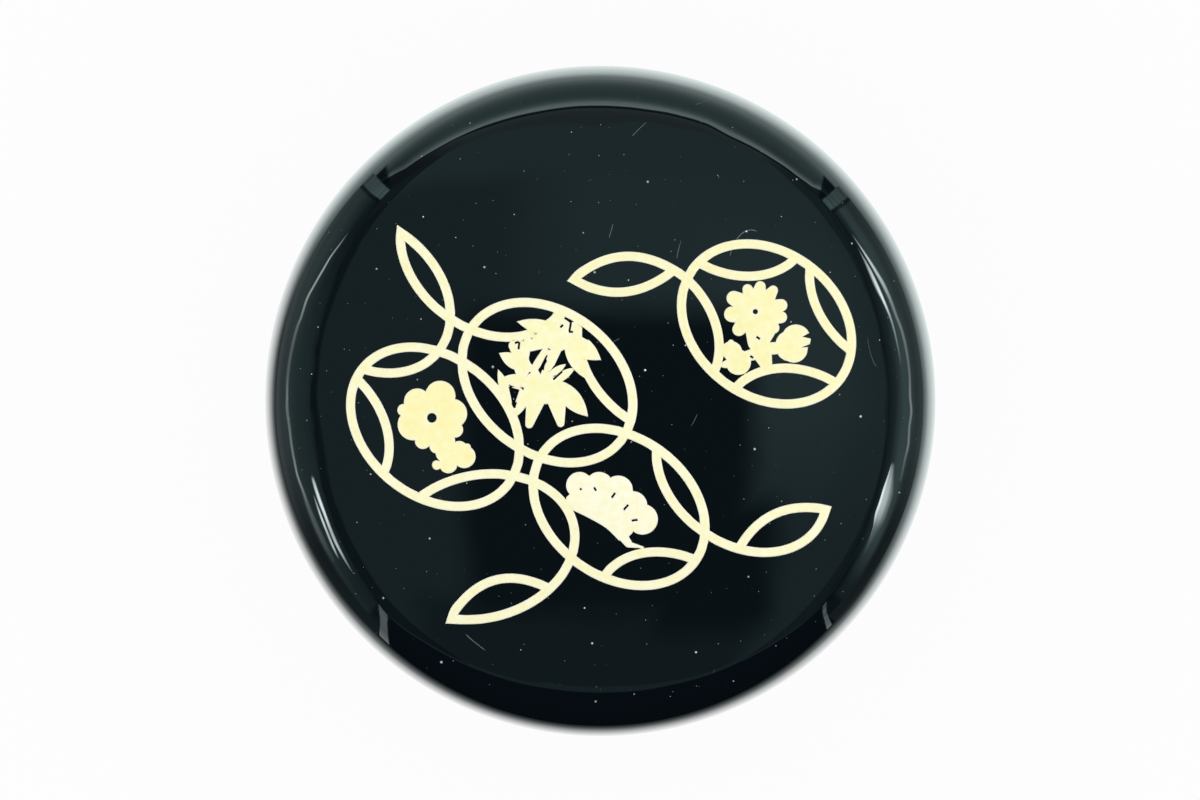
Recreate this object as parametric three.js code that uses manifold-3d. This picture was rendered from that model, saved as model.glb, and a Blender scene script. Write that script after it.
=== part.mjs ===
// Lacquer tea caddy: a turned body, a domed lid that lifts off the body's neck, and raised gold on the lid.
// Millimetres, +Z up. The origin is the centre of the foot, and +Y is the top of the ornament.
import * as THREE from "three";
import { mergeVertices } from "three/addons/utils/BufferGeometryUtils.js";
import Module from "manifold-3d";

const wasm = await Module();
wasm.setup();

const degrees = Math.PI / 180;

// Outside of the body
const seamRadius = 33.2; // the widest point, where lid and body meet
const seamHeight = 44;
const footInset = 13.2; // how far the foot stands inside the widest point
const footSlope = 32 * degrees; // slope of the side where it meets the foot
const heelRadius = 19.5; // curve that runs from the foot into the long curve of the side
const footRingWidth = 2.6;
const footRecess = 0.8;

// Outside of the lid, from the seam up
const lidSideHeight = 15.66;
const lidSideLean = 11.5 * degrees; // how far the side has leaned in where the shoulder starts
const shoulderRadius = 4.87;
const easeRadius = 11.7; // eases the shoulder into the dome
const easeTurn = 5.5 * degrees;
const domeSlope = 15.5 * degrees; // slope at the edge of the dome

// Walls, and the fit of the lid on the neck
const lidRim = 2.1; // width of the lid's lower edge
const lidCrown = 2.4; // thickness of the dome
const lidCornerRadius = 6.5; // inside corner of the lid
const neckClearance = 0.2;
const neckWall = 1.2;
const neckHeight = 5.5;
const floorThickness = 2.8;
const innerHeelRadius = 14; // inside corner of the body
const edgeRound = 0.35; // softened edges at the seam and the neck

// Gold on the lid
const goldThickness = 0.22;
const goldBed = 0.02; // least space for the lacquer that holds the gold
const goldSeam = 0.05; // fine line between a plant and the lines that it meets
const lineWidth = 0.9;
const dashWidth = 0.2; // marks that are left open in a plant
const ornamentMargin = 2.01; // from the outermost tip of the ornament to the edge of the dome

// Facets
const turnSteps = 52;
const ringSteps = 36;
const bowSteps = 12;
const roundSteps = 8;
const arcSag = 0.055; // largest distance between an arc of a profile and its facets
const weldDistance = 1e-5;

// Rings of the ornament: centre, half axes and turn, and the lenses inside the ring's edge. A lens is
// [middle, half width] in degrees round the ring. Its inner line may run on past the lens, by the two
// angles that follow, to draw one side of a leaf.
const plumRing = {
  x: -16.03,
  y: -2.31,
  long: 9.06,
  short: 6.79,
  turn: -38.3 * degrees,
  lenses: [
    [-134, 37],
    [149, 31, 0, 99],
  ],
};
const bambooRing = {
  x: -5.08,
  y: 2,
  long: 9.09,
  short: 6.82,
  turn: -38.3 * degrees,
  lenses: [
    [58, 40],
    [148, 37, 86, 0],
  ],
};
const pineRing = {
  x: 1.89,
  y: -10.09,
  long: 9.08,
  short: 6.78,
  turn: -36.2 * degrees,
  lenses: [
    [59, 34, 0, 106],
    [-35, 37],
  ],
};
const chrysanthemumRing = {
  x: 16.25,
  y: 7.69,
  long: 8.96,
  short: 7.03,
  turn: -37 * degrees,
  lenses: [
    [57, 33],
    [-43, 39],
    [-134, 36],
    [137, 37],
  ],
};

// A part of a fifth ring links the plum's ring to the pine's and ends in a leaf
const openRing = {
  x: -11.68,
  y: -14.01,
  long: 9.4,
  short: 6.98,
  turn: 14.2 * degrees,
  from: -120,
  to: 117,
};

// Remaining sides of the leaves, each from its start through its middle to its end
const linkedLeafLines = [
  [[13.7, -13.9], [17.3, -10.68], [22.4, -10.45]],
  [[-5, -18], [-10.5, -17.34], [-14.8, -21.3]],
];
const singleLeafLines = [
  [[-2.9, 11.75], [2.6, 14.24], [8.5, 12.05]],
  [[-2.9, 12.2], [2.1, 10.76], [7, 12.75]],
];

// Plants: round lobes as [x, y, radius]
const plumLobes = [
  [-16.26, -1.37, 2.52],
  [-15.49, 0.67, 1.5],
  [-17.72, 0.09, 1.33],
  [-19.08, -0.69, 0.61],
  [-18.11, -2.1, 1.55],
  [-17.19, -3.7, 0.78],
  [-14.32, -1.03, 1.46],
  [-14.03, -2.58, 0.78],
  [-14.81, -3.6, 0.78],
  [-15.78, -4.15, 0.78],
];
const plumBudLobes = [
  [-13.64, -4.57, 0.9],
  [-12.87, -4.28, 0.37],
  [-13.16, -5.2, 1.12],
  [-14.71, -5.93, 0.9],
  [-15.83, -6.03, 0.47],
  [-14.9, -4.77, 1.07],
];
const plumEye = [-16.3, -1.44, 0.47];

// The chrysanthemum's flower, the bloom beside it and the leaf. A blade is two lobes and what lies between.
const chrysanthemumLobes = [
  [15.13, 8.87, 2.04],
  [18.59, 5.57, 1.55],
  [19.08, 6.18, 1.46],
  [18.88, 5.28, 1.36],
  [12.77, 4.94, 1.07],
  [12.74, 5.86, 0.31],
  [13.45, 3.97, 1.24],
  [12.23, 4.26, 0.87],
];
const chrysanthemumBlades = [
  [[14.66, 10.23, 0.73], [14.37, 11.06, 0.5]],
  [[15.39, 10.28, 0.78], [15.61, 11.32, 0.53]],
  [[16.21, 10.04, 0.78], [16.87, 10.96, 0.47]],
  [[16.46, 9.26, 0.78], [17.65, 9.5, 0.61]],
  [[16.36, 8.34, 0.83], [17.64, 8.34, 0.58]],
  [[16.07, 8.05, 0.87], [16.89, 7.32, 0.58]],
  [[14.03, 9.7, 0.87], [13.03, 10.18, 0.72]],
  [[14.13, 8.58, 0.87], [12.83, 8.62, 0.76]],
  [[14.42, 8.24, 0.87], [13.52, 7.15, 0.65]],
  [[15.29, 7.27, 1.17], [15.44, 6.01, 1.1]],
  [[16.55, 7.27, 0.7], [15.78, 6.01, 0.7]],
  [[15.68, 5.14, 1.02], [16.24, 3.55, 0.53]],
  [[13.93, 4.46, 0.49], [15, 4.75, 0.58]],
];
const chrysanthemumTwig = [[15.4, 5.5], [16.65, 5.3], [17.95, 5.55]];
const chrysanthemumTwigWidth = 1.2;
const chrysanthemumEye = [15.12, 8.88, 0.25];
const chrysanthemumCuts = [
  [[19.71, 6.44], [20.73, 6.22], [20.73, 6.99]],
  [[19.61, 5.4], [20.73, 5.48], [20.73, 5.83]],
  [[11.87, 3.97], [12.31, 4.23], [11.99, 4.55]],
];
const chrysanthemumDashes = [
  [[15.22, 6.44], [15.56, 6.21]],
  [[14.61, 4.57], [14.9, 4.4]],
];

const pineLobes = [
  [-1.94, -7.97, 1.31],
  [-0.05, -8.07, 1.41],
  [1.79, -8.45, 1.44],
  [3.15, -10.01, 1.5],
  [4.15, -11.27, 1.5],
];
const pineBough = [
  [-3.25, -9.13],
  [-3.16, -10.11],
  [-0.92, -11.22],
  [0.63, -12.14],
  [1.89, -13.36],
  [2.77, -13.02],
  [3.15, -12.63],
  [4.12, -11.22],
  [3.15, -10.01],
  [1.79, -8.45],
  [-1.94, -7.97],
];
const pineTail = [
  [[2.18, -12.82, 0.49], [2.77, -13.62, 0.38]],
  [[2.82, -13.73, 0.3], [4.22, -14, 0.08]],
];
const pineDashes = [
  [[-1.89, -8.26], [-1.76, -8.4]],
  [[-0.54, -8.16], [-0.34, -8.5]],
  [[1.16, -9.18], [1.5, -8.7]],
  [[2.33, -10.35], [2.77, -9.86]],
  [[3.11, -11.4], [3.69, -11.32]],
];

// Bamboo leaves as [base, tip, half width]
const bambooLeaves = [
  [[-3.2, 6.8], [-8.05, 7.92], 0.72],
  [[-3.98, 6.92], [0.15, 4.18], 1],
  [[-3.4, 6.45], [-1.4, 2.4], 0.74],
  [[-3.79, 7.22], [-3.69, 9.17], 0.58],
  [[-2.48, 6.45], [-1.8, 8.39], 0.53],
  [[-4.95, 6.25], [-8.54, 4.5], 0.68],
  [[-7.45, 6.1], [-7.55, 1.9], 0.87],
  [[-4.9, 5.9], [-6.75, 2.5], 0.42],
  [[-4.05, 6.06], [-5.4, 2.3], 0.45],
  [[-6.7, 3.2], [-9.76, 4.86], 0.74],
  [[-6.2, 1.95], [-9.6, 2.4], 0.64],
  [[-8.55, -0.35], [-9.86, 3.3], 0.5],
  [[-6.3, 2.4], [-8.25, -1.45], 0.55],
  [[-4.56, 2.4], [-1.12, -1.3], 0.92],
  [[-4.95, 1.75], [-2.35, 3.46], 0.44],
  [[-5.15, 2.5], [-3.25, 3.8], 0.34],
];
const bambooNodes = [
  [-2.45, 6.72, 1.2],
  [-4.1, 6.4, 1.4],
  [-5.73, 5.96, 0.87],
  [-7.96, 5.38, 0.78],
  [-5.75, 1.62, 1.65],
  [-5.2, 0.9, 1],
  [-6.65, 3.39, 0.4],
  [-4.95, 4.89, 0.3],
  [-8.1, 0.86, 0.78],
  [-8.15, -0.84, 0.39],
  [-8.35, 5.57, 0.49],
  [-6.94, 5.96, 0.44],
  [-3.25, 7.66, 0.34],
];
const bambooBlades = [
  [[-6.15, 0.48, 0.95], [-6.82, -2.05, 0.39]],
  [[-4.19, 0.48, 0.97], [-3.78, -1.95, 0.37]],
  [[-4.13, 5.43, 0.53], [-4.52, 3.73, 0.15]],
];
const bambooCuts = [
  [[-6.75, 4.99], [-6.85, 4.26], [-6.67, 3.85], [-6.46, 3.87], [-5.55, 5.25]],
  [[-5.26, 4.5], [-5.68, 3.68], [-5.94, 3.15], [-5.73, 2.81], [-5.53, 3.29], [-5.1, 4.07]],
  [[-1.7, 7.37], [-1.7, 6.4], [-1.12, 6.1], [-1.02, 6.88]],
  [[-8.82, 1.59], [-8.38, -0.5], [-7.77, 1.3]],
];
const bambooDashes = [
  [[-3.4, 8.24], [-2.62, 7.92]],
  [[-2.75, 8], [-2.93, 6.98]],
  [[-2.98, 6.92], [-2.59, 6.9]],
  [[-3.8, 7.33], [-3.56, 7.6]],
  [[-4.49, 2.29], [-3.64, 3.07]],
  [[-8.22, 5.82], [-7.86, 5.95]],
  [[-7.79, 5.93], [-7.86, 5.23]],
];

const lacquer = new THREE.MeshStandardMaterial({ color: 0x101415, roughness: 0.06, metalness: 0 });
const gold = new THREE.MeshStandardMaterial({ color: 0xe9dfa0, roughness: 0.38, metalness: 0.9 });

const point = (x, y) => new THREE.Vector2(x, y);

// Profiles are drawn as (radius, height). A tilt is the angle of the surface's normal from straight up.
function alongNormal(start, distance, tilt) {
  return point(start.x + distance * Math.sin(tilt), start.y + distance * Math.cos(tilt));
}

function profileArc({ centre, radius, from, to }) {
  const stepTurn = 2 * Math.acos(Math.max(0, 1 - arcSag / radius));
  const steps = Math.ceil(Math.abs(to - from) / stepTurn);
  return Array.from({ length: steps + 1 }, (_, i) =>
    alongNormal(centre, radius, from + ((to - from) * i) / steps),
  );
}

// A quarter round on an edge, around its own centre
function edgeArc(x, y, from) {
  return profileArc({ centre: point(x, y), radius: edgeRound, from, to: from + 90 * degrees });
}

function turned(profile) {
  const apart = (p, i) => i === 0 || p.distanceTo(profile[i - 1]) > weldDistance;
  return new THREE.LatheGeometry(profile.filter(apart), turnSteps).rotateX(90 * degrees);
}

// Lid outside, above the seam: side, shoulder, ease and dome are arcs that meet without a crease
function lidArcs() {
  const sideTilt = 90 * degrees - lidSideLean;
  const shoulderTilt = domeSlope + easeTurn;
  const sideRadius = lidSideHeight / Math.sin(lidSideLean);
  const sideCentre = point(seamRadius - sideRadius, 0);
  const shoulderCentre = alongNormal(sideCentre, sideRadius - shoulderRadius, sideTilt);
  const easeCentre = alongNormal(shoulderCentre, shoulderRadius - easeRadius, shoulderTilt);
  const domeRadius = easeRadius + easeCentre.x / Math.sin(domeSlope);
  const domeCentre = alongNormal(easeCentre, easeRadius - domeRadius, domeSlope);
  const rimTilt = 90 * degrees - Math.asin(edgeRound / sideRadius);
  return {
    dome: { centre: domeCentre, radius: domeRadius, from: 0, to: domeSlope },
    ease: { centre: easeCentre, radius: easeRadius, from: domeSlope, to: shoulderTilt },
    shoulder: { centre: shoulderCentre, radius: shoulderRadius, from: shoulderTilt, to: sideTilt },
    side: { centre: sideCentre, radius: sideRadius, from: sideTilt, to: rimTilt },
  };
}

const { dome, ease, shoulder, side } = lidArcs();
const domeEdge = dome.radius * Math.sin(domeSlope);
const lidInnerRadius = seamRadius - lidRim;

const domeHeight = (radius) => dome.centre.y + Math.sqrt(dome.radius ** 2 - radius ** 2);

function lid() {
  const ceilingRadius = dome.radius - lidCrown;
  const cornerX = lidInnerRadius - lidCornerRadius;
  const cornerReach = ceilingRadius - lidCornerRadius;
  const cornerY = dome.centre.y + Math.sqrt(cornerReach ** 2 - cornerX ** 2);
  const cornerTilt = Math.asin(cornerX / cornerReach);
  const corner = {
    centre: point(cornerX, cornerY),
    radius: lidCornerRadius,
    from: 90 * degrees,
    to: cornerTilt,
  };
  const ceiling = { centre: dome.centre, radius: ceilingRadius, from: cornerTilt, to: 0 };
  return turned([
    ...profileArc(dome),
    ...profileArc(ease),
    ...profileArc(shoulder),
    ...profileArc(side),
    ...edgeArc(seamRadius - edgeRound, edgeRound, 90 * degrees),
    ...edgeArc(lidInnerRadius + edgeRound, edgeRound, 180 * degrees),
    ...profileArc(corner),
    ...profileArc(ceiling),
  ].reverse());
}

// The belly is upright at the seam and runs into the heel without a crease
function bellyRadiusOver(heelCentre) {
  const across = seamRadius - heelCentre.x;
  const up = seamHeight - heelCentre.y;
  return (across ** 2 + up ** 2 - heelRadius ** 2) / (2 * (across - heelRadius));
}

const tiltBetween = (from, to) => Math.atan2(to.x - from.x, to.y - from.y);

function body() {
  const footRadius = seamRadius - footInset;
  const footTilt = 180 * degrees - footSlope;
  const heelCentre = alongNormal(point(footRadius, 0), -heelRadius, footTilt);
  const bellyRadius = bellyRadiusOver(heelCentre);
  const bellyCentre = point(seamRadius - bellyRadius, seamHeight);
  const heelTilt = tiltBetween(bellyCentre, heelCentre);
  const ledgeTilt = 90 * degrees + Math.asin(edgeRound / bellyRadius);
  const heel = { centre: heelCentre, radius: heelRadius, from: footTilt, to: heelTilt };
  const belly = { centre: bellyCentre, radius: bellyRadius, from: heelTilt, to: ledgeTilt };

  const neckOuter = lidInnerRadius - neckClearance;
  const neckInner = neckOuter - neckWall;
  const neckTop = seamHeight + neckHeight - edgeRound;
  const floorHeight = footRecess + floorThickness;
  const insideRadius = neckInner - bellyCentre.x;
  const innerHeelY = floorHeight + innerHeelRadius;
  const innerReach = insideRadius - innerHeelRadius;
  const innerHeelX = bellyCentre.x + Math.sqrt(innerReach ** 2 - (innerHeelY - seamHeight) ** 2);
  const innerHeelCentre = point(innerHeelX, innerHeelY);
  const innerTilt = tiltBetween(bellyCentre, innerHeelCentre);
  const inside = { centre: bellyCentre, radius: insideRadius, from: 90 * degrees, to: innerTilt };
  const insideHeel = {
    centre: innerHeelCentre,
    radius: innerHeelRadius,
    from: innerTilt,
    to: 180 * degrees,
  };
  return turned([
    point(0, footRecess),
    point(footRadius - footRingWidth - footRecess, footRecess),
    point(footRadius - footRingWidth, 0),
    ...profileArc(heel),
    ...profileArc(belly),
    ...edgeArc(seamRadius - edgeRound, seamHeight - edgeRound, 0).reverse(),
    point(neckOuter, seamHeight),
    ...edgeArc(neckOuter - edgeRound, neckTop, 0).reverse(),
    ...edgeArc(neckInner + edgeRound, neckTop, -90 * degrees).reverse(),
    ...profileArc(inside),
    ...profileArc(insideHeel),
    point(0, floorHeight),
  ]);
}

// Gold outlines are drawn flat, as seen from above, extruded, joined and cut
function solidOf(shape) {
  const geometry = new THREE.ExtrudeGeometry(shape, {
    depth: goldThickness,
    bevelEnabled: false,
    curveSegments: roundSteps,
  });
  geometry.deleteAttribute("normal");
  geometry.deleteAttribute("uv");
  const merged = mergeVertices(geometry, weldDistance);
  const mesh = new wasm.Mesh({
    numProp: 3,
    vertProperties: merged.attributes.position.array,
    triVerts: new Uint32Array(merged.index.array),
  });
  return new wasm.Manifold(mesh);
}

const joined = (shapes) => shapes.map(solidOf).reduce((sum, solid) => sum.add(solid));

// A line of even width along a curve, with square ends, or closed on itself
function line(curve, width, steps, closed = false) {
  const edge = (side) =>
    Array.from({ length: closed ? steps : steps + 1 }, (_, i) => {
      const tangent = curve.getTangent(i / steps);
      const shift = point(-tangent.y, tangent.x).multiplyScalar((side * width) / 2);
      return curve.getPoint(i / steps).add(shift);
    });
  if (!closed) return new THREE.Shape([...edge(1), ...edge(-1).reverse()]);
  const shape = new THREE.Shape(edge(-1));
  shape.holes.push(new THREE.Path(edge(1)));
  return shape;
}

function ringLine({ x, y, long, short, turn }, width) {
  const ellipse = new THREE.EllipseCurve(x, y, long, short, 0, 360 * degrees, false, turn);
  return line(ellipse, width, ringSteps, true);
}

// Part of a ring, between two angles in degrees
function ringArc({ x, y, long, short, turn }, from, to, width) {
  const [start, end] = [from * degrees, to * degrees];
  const curve = new THREE.EllipseCurve(x, y, long, short, start, end, false, turn);
  return line(curve, width, Math.ceil(((to - from) / 360) * ringSteps));
}

// The inner line of a lens is the ring's own edge, mirrored over the lens's chord
function lensLine(ring, [middle, half, before = 0, after = 0], width) {
  const shift = 2 * Math.cos(half * degrees);
  const offset = point(
    ring.long * shift * Math.cos(middle * degrees),
    ring.short * shift * Math.sin(middle * degrees),
  ).rotateAround(point(0, 0), ring.turn);
  const mirrored = { ...ring, x: ring.x + offset.x, y: ring.y + offset.y };
  const opposite = middle + 180;
  return ringArc(mirrored, opposite - half - before, opposite + half + after, width);
}

// A bowed line through three points
function bow([start, middle, end], width) {
  const control = point(
    2 * middle[0] - (start[0] + end[0]) / 2,
    2 * middle[1] - (start[1] + end[1]) / 2,
  );
  const curve = new THREE.QuadraticBezierCurve(point(...start), control, point(...end));
  return line(curve, width, bowSteps);
}

function disc([x, y, radius], grow = 0) {
  return new THREE.Shape().absarc(x, y, radius + grow, 0, 360 * degrees);
}

// A pointed leaf, widest at its middle
function leaf([base, tip, halfWidth], grow = 0) {
  const [from, to] = [point(...base), point(...tip)];
  const along = to.clone().sub(from).normalize();
  const aside = point(-along.y, along.x).multiplyScalar(2 * (halfWidth + grow));
  const middle = from.clone().lerp(to, 0.5);
  const end = to.clone().addScaledVector(along, grow);
  const start = from.clone().addScaledVector(along, -grow);
  return new THREE.Shape()
    .moveTo(start.x, start.y)
    .quadraticCurveTo(middle.x - aside.x, middle.y - aside.y, end.x, end.y)
    .quadraticCurveTo(middle.x + aside.x, middle.y + aside.y, start.x, start.y);
}

// Two discs and the straight sides that touch both
function blade([[baseX, baseY, baseRadius], [tipX, tipY, tipRadius]], grow = 0) {
  const heading = Math.atan2(tipY - baseY, tipX - baseX);
  const spread = Math.acos((baseRadius - tipRadius) / Math.hypot(tipX - baseX, tipY - baseY));
  return new THREE.Shape()
    .absarc(tipX, tipY, tipRadius + grow, heading - spread, heading + spread)
    .absarc(baseX, baseY, baseRadius + grow, heading + spread, heading - spread + 360 * degrees);
}

const polygon = (corners) => new THREE.Shape(corners.map(([x, y]) => point(x, y)));

function dash([start, end]) {
  return line(new THREE.LineCurve(point(...start), point(...end)), dashWidth, 1);
}

const linkedRings = [plumRing, bambooRing, pineRing];
const trimWidth = lineWidth + 2 * goldSeam;

const ringLines = (rings, width) => joined(rings.map((ring) => ringLine(ring, width)));

function lensLines(rings, width) {
  return rings.flatMap((ring) => ring.lenses.map((lens) => lensLine(ring, lens, width)));
}

function linkedLines(width) {
  return joined([
    ...lensLines(linkedRings, width),
    ringArc(openRing, openRing.from, openRing.to, width),
    ...linkedLeafLines.map((leafLine) => bow(leafLine, width)),
  ]);
}

function singleLines(width) {
  return joined([
    ...lensLines([chrysanthemumRing], width),
    ...singleLeafLines.map((leafLine) => bow(leafLine, width)),
  ]);
}

// The bamboo lies over the lines inside its ring, and stops at the rings themselves
function bambooOutline(grow = 0) {
  return joined([
    ...bambooLeaves.map((each) => leaf(each, grow)),
    ...bambooBlades.map((each) => blade(each, grow)),
    ...bambooNodes.map((each) => disc(each, grow)),
  ]);
}

function linkedRingsGold() {
  const lines = linkedLines(lineWidth).subtract(bambooOutline(goldSeam));
  return ringLines(linkedRings, lineWidth).add(lines);
}

function singleRingGold() {
  return ringLines([chrysanthemumRing], lineWidth).add(singleLines(lineWidth));
}

function bambooGold() {
  const marks = joined([...bambooCuts.map(polygon), ...bambooDashes.map(dash)]);
  return bambooOutline().subtract(ringLines(linkedRings, trimWidth)).subtract(marks);
}

function plumGold() {
  const lobes = [...plumLobes, ...plumBudLobes].map((lobe) => disc(lobe));
  return joined(lobes).subtract(solidOf(disc(plumEye)));
}

function pineGold() {
  const shapes = [
    ...pineLobes.map((lobe) => disc(lobe)),
    ...pineTail.map((each) => blade(each)),
    polygon(pineBough),
  ];
  return joined(shapes).subtract(linkedLines(trimWidth)).subtract(joined(pineDashes.map(dash)));
}

function chrysanthemumGold() {
  const shapes = [
    ...chrysanthemumLobes.map((lobe) => disc(lobe)),
    ...chrysanthemumBlades.map((each) => blade(each)),
    bow(chrysanthemumTwig, chrysanthemumTwigWidth),
  ];
  const marks = joined([
    disc(chrysanthemumEye),
    ...chrysanthemumCuts.map(polygon),
    ...chrysanthemumDashes.map(dash),
  ]);
  return joined(shapes).subtract(singleLines(trimWidth)).subtract(marks);
}

function flatGeometry(solid) {
  const { vertProperties, triVerts } = solid.getMesh();
  const geometry = new THREE.BufferGeometry();
  geometry.setAttribute("position", new THREE.BufferAttribute(vertProperties, 3));
  return geometry.setIndex(new THREE.BufferAttribute(triVerts, 1));
}

const goldPieces = {
  gold_linked_rings: flatGeometry(linkedRingsGold()),
  gold_single_ring: flatGeometry(singleRingGold()),
  gold_plum: flatGeometry(plumGold()),
  gold_bamboo: flatGeometry(bambooGold()),
  gold_pine: flatGeometry(pineGold()),
  gold_chrysanthemum: flatGeometry(chrysanthemumGold()),
};

// The ornament as a whole fits the dome, up to its margin
function ornamentScale() {
  const reaches = Object.values(goldPieces).map(({ attributes: { position } }) => {
    const radii = Array.from({ length: position.count }, (_, i) =>
      Math.hypot(position.getX(i), position.getY(i)),
    );
    return Math.max(...radii);
  });
  return (domeEdge - ornamentMargin) / Math.max(...reaches);
}

function longestEdge({ index, attributes: { position } }) {
  const corner = (i) => new THREE.Vector3().fromBufferAttribute(position, index.getX(i));
  const edges = Array.from({ length: index.count }, (_, i) =>
    corner(i).distanceTo(corner(i % 3 === 2 ? i - 2 : i + 1)),
  );
  return Math.max(...edges);
}

// Bends a flat piece over the dome, high enough for its longest facet to clear the round surface
function laidOnDome(geometry, scale) {
  geometry.scale(scale, scale, 1);
  const sag = longestEdge(geometry) ** 2 / (8 * dome.radius);
  const { position } = geometry.attributes;
  for (let i = 0; i < position.count; i++) {
    const radius = Math.hypot(position.getX(i), position.getY(i));
    position.setZ(i, position.getZ(i) + domeHeight(radius) + sag + goldBed);
  }
  return geometry;
}

function piece(name, geometry, material) {
  const mesh = new THREE.Mesh(geometry, material);
  mesh.name = name;
  return mesh;
}

const liftingLid = new THREE.Group();
liftingLid.position.z = seamHeight;
liftingLid.add(piece("lid", lid(), lacquer));
const scale = ornamentScale();
for (const [name, geometry] of Object.entries(goldPieces)) {
  liftingLid.add(piece(name, laidOnDome(geometry, scale), gold));
}

const caddy = new THREE.Group();
caddy.add(piece("body", body(), lacquer), liftingLid);

export default caddy;
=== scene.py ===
"""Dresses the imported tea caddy: turned lacquer, raised gold, a small light box and the camera."""

import math

import bmesh
import bpy
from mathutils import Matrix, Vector
from mathutils.geometry import delaunay_2d_cdt
from mathutils.kdtree import KDTree


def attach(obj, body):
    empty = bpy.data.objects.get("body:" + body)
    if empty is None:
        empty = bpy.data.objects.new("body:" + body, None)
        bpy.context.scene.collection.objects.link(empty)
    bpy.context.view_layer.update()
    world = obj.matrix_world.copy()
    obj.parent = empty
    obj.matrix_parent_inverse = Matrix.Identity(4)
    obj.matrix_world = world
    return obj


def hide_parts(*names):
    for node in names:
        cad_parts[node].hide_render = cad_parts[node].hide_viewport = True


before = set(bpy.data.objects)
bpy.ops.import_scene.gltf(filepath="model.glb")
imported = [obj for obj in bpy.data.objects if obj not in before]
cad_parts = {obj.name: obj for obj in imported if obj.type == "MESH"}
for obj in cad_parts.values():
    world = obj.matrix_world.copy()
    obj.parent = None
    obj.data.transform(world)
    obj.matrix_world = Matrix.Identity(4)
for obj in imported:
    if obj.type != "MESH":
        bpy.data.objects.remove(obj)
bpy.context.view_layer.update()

MM = 0.001

# Turned outside, as in the part's source
SEAM_RADIUS = 33.2 * MM
SEAM_HEIGHT = 44 * MM
FOOT_INSET = 13.2 * MM
FOOT_SLOPE = math.radians(32)
HEEL_RADIUS = 19.5 * MM
FOOT_RING_WIDTH = 2.6 * MM
FOOT_RECESS = 0.8 * MM
LID_SIDE_HEIGHT = 15.66 * MM
LID_SIDE_LEAN = math.radians(11.5)
SHOULDER_RADIUS = 4.87 * MM
EASE_RADIUS = 11.7 * MM
EASE_TURN = math.radians(5.5)
DOME_SLOPE = math.radians(15.5)

# The scene's own easing of the lid's side: lean at its top, then arcs by radius and last lean
SIDE_TOP_LEAN = math.radians(15.3)
SIDE_EASES = ((17 * MM, math.radians(11.1)), (42 * MM, math.radians(7.7)))

# Inside and neck
LID_RIM = 2.1 * MM
LID_CROWN = 2.4 * MM
LID_CORNER_RADIUS = 6.5 * MM
NECK_CLEARANCE = 0.2 * MM
NECK_WALL = 1.2 * MM
NECK_HEIGHT = 5.5 * MM
FLOOR_THICKNESS = 2.8 * MM
INNER_HEEL_RADIUS = 14 * MM
EDGE_ROUND = 0.35 * MM

# Gold
GOLD_THICKNESS = 0.22 * MM
GOLD_BED = 0.02 * MM
# Rows of points inside an outline: distance from it, share of the lift, tilt outwards, share of the
# painted edge highlight
GOLD_INSETS = (0.0, 0.05 * MM, 0.13 * MM, 0.3 * MM)
GOLD_LIFTS = (0.34, 0.78, 1.0, 1.0)
GOLD_TILTS = (math.radians(62), math.radians(38), 0.0, 0.0)
GOLD_EDGE_HIGHLIGHTS = (1.0, 1.0, 0.8, 0.0)
ROW_CLEARANCE = 0.93
# Where two pieces meet: how near counts, how far the outline moves, and the shortest run that moves
JOIN_REACH = 0.11 * MM
JOIN_MOVE = 0.027 * MM
JOIN_SPAN = 0.06 * MM
# Outlines: step length, ends of leaves in mm, and the turns that stay sharp
OUTLINE_STEP = 0.16 * MM
LEAF_TIPS = ((-19.28, 16.94), (-14.69, -21.01), (-3.1, 11.55), (22.05, -9.84))
TIP_REACH = 1.05 * MM
CORNER_TURN = math.radians(52)
SOFT_TURN = math.radians(26)

# Fineness of the meshes
TURN_STEPS = 192
ARC_STEP = 0.6 * MM
ARC_TURN = math.radians(2.2)
SHARP_ANGLE = math.radians(32)
WELD = 2e-6
FILL_WELD = WELD / 4

UP = math.pi / 2
DOWN = math.pi


# Profiles are lists of (radius, height); a tilt is measured from straight up
def along(start, distance, tilt):
    return (start[0] + distance * math.sin(tilt), start[1] + distance * math.cos(tilt))


def arc(centre, radius, start, end):
    steps = max(
        math.ceil(abs(end - start) * radius / ARC_STEP),
        math.ceil(abs(end - start) / ARC_TURN),
    )
    return [along(centre, radius, start + (end - start) * i / steps) for i in range(steps + 1)]


def edge(x, y, start, end):
    return arc((x, y), EDGE_ROUND, start, end)


SIDE_TILT = UP - LID_SIDE_LEAN
SHOULDER_TILT = DOME_SLOPE + EASE_TURN
SIDE_RADIUS = LID_SIDE_HEIGHT / math.sin(LID_SIDE_LEAN)
SIDE_CENTRE = (SEAM_RADIUS - SIDE_RADIUS, SEAM_HEIGHT)
SHOULDER_CENTRE = along(SIDE_CENTRE, SIDE_RADIUS - SHOULDER_RADIUS, SIDE_TILT)
EASE_CENTRE = along(SHOULDER_CENTRE, SHOULDER_RADIUS - EASE_RADIUS, SHOULDER_TILT)
DOME_RADIUS = EASE_RADIUS + EASE_CENTRE[0] / math.sin(DOME_SLOPE)
DOME_CENTRE = along(EASE_CENTRE, EASE_RADIUS - DOME_RADIUS, DOME_SLOPE)
LID_INNER = SEAM_RADIUS - LID_RIM


def dome_height(x, y):
    return DOME_CENTRE[1] + math.sqrt(DOME_RADIUS**2 - x * x - y * y)


def dome_normal(x, y):
    return Vector((x, y, dome_height(x, y) - DOME_CENTRE[1])).normalized()


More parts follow.
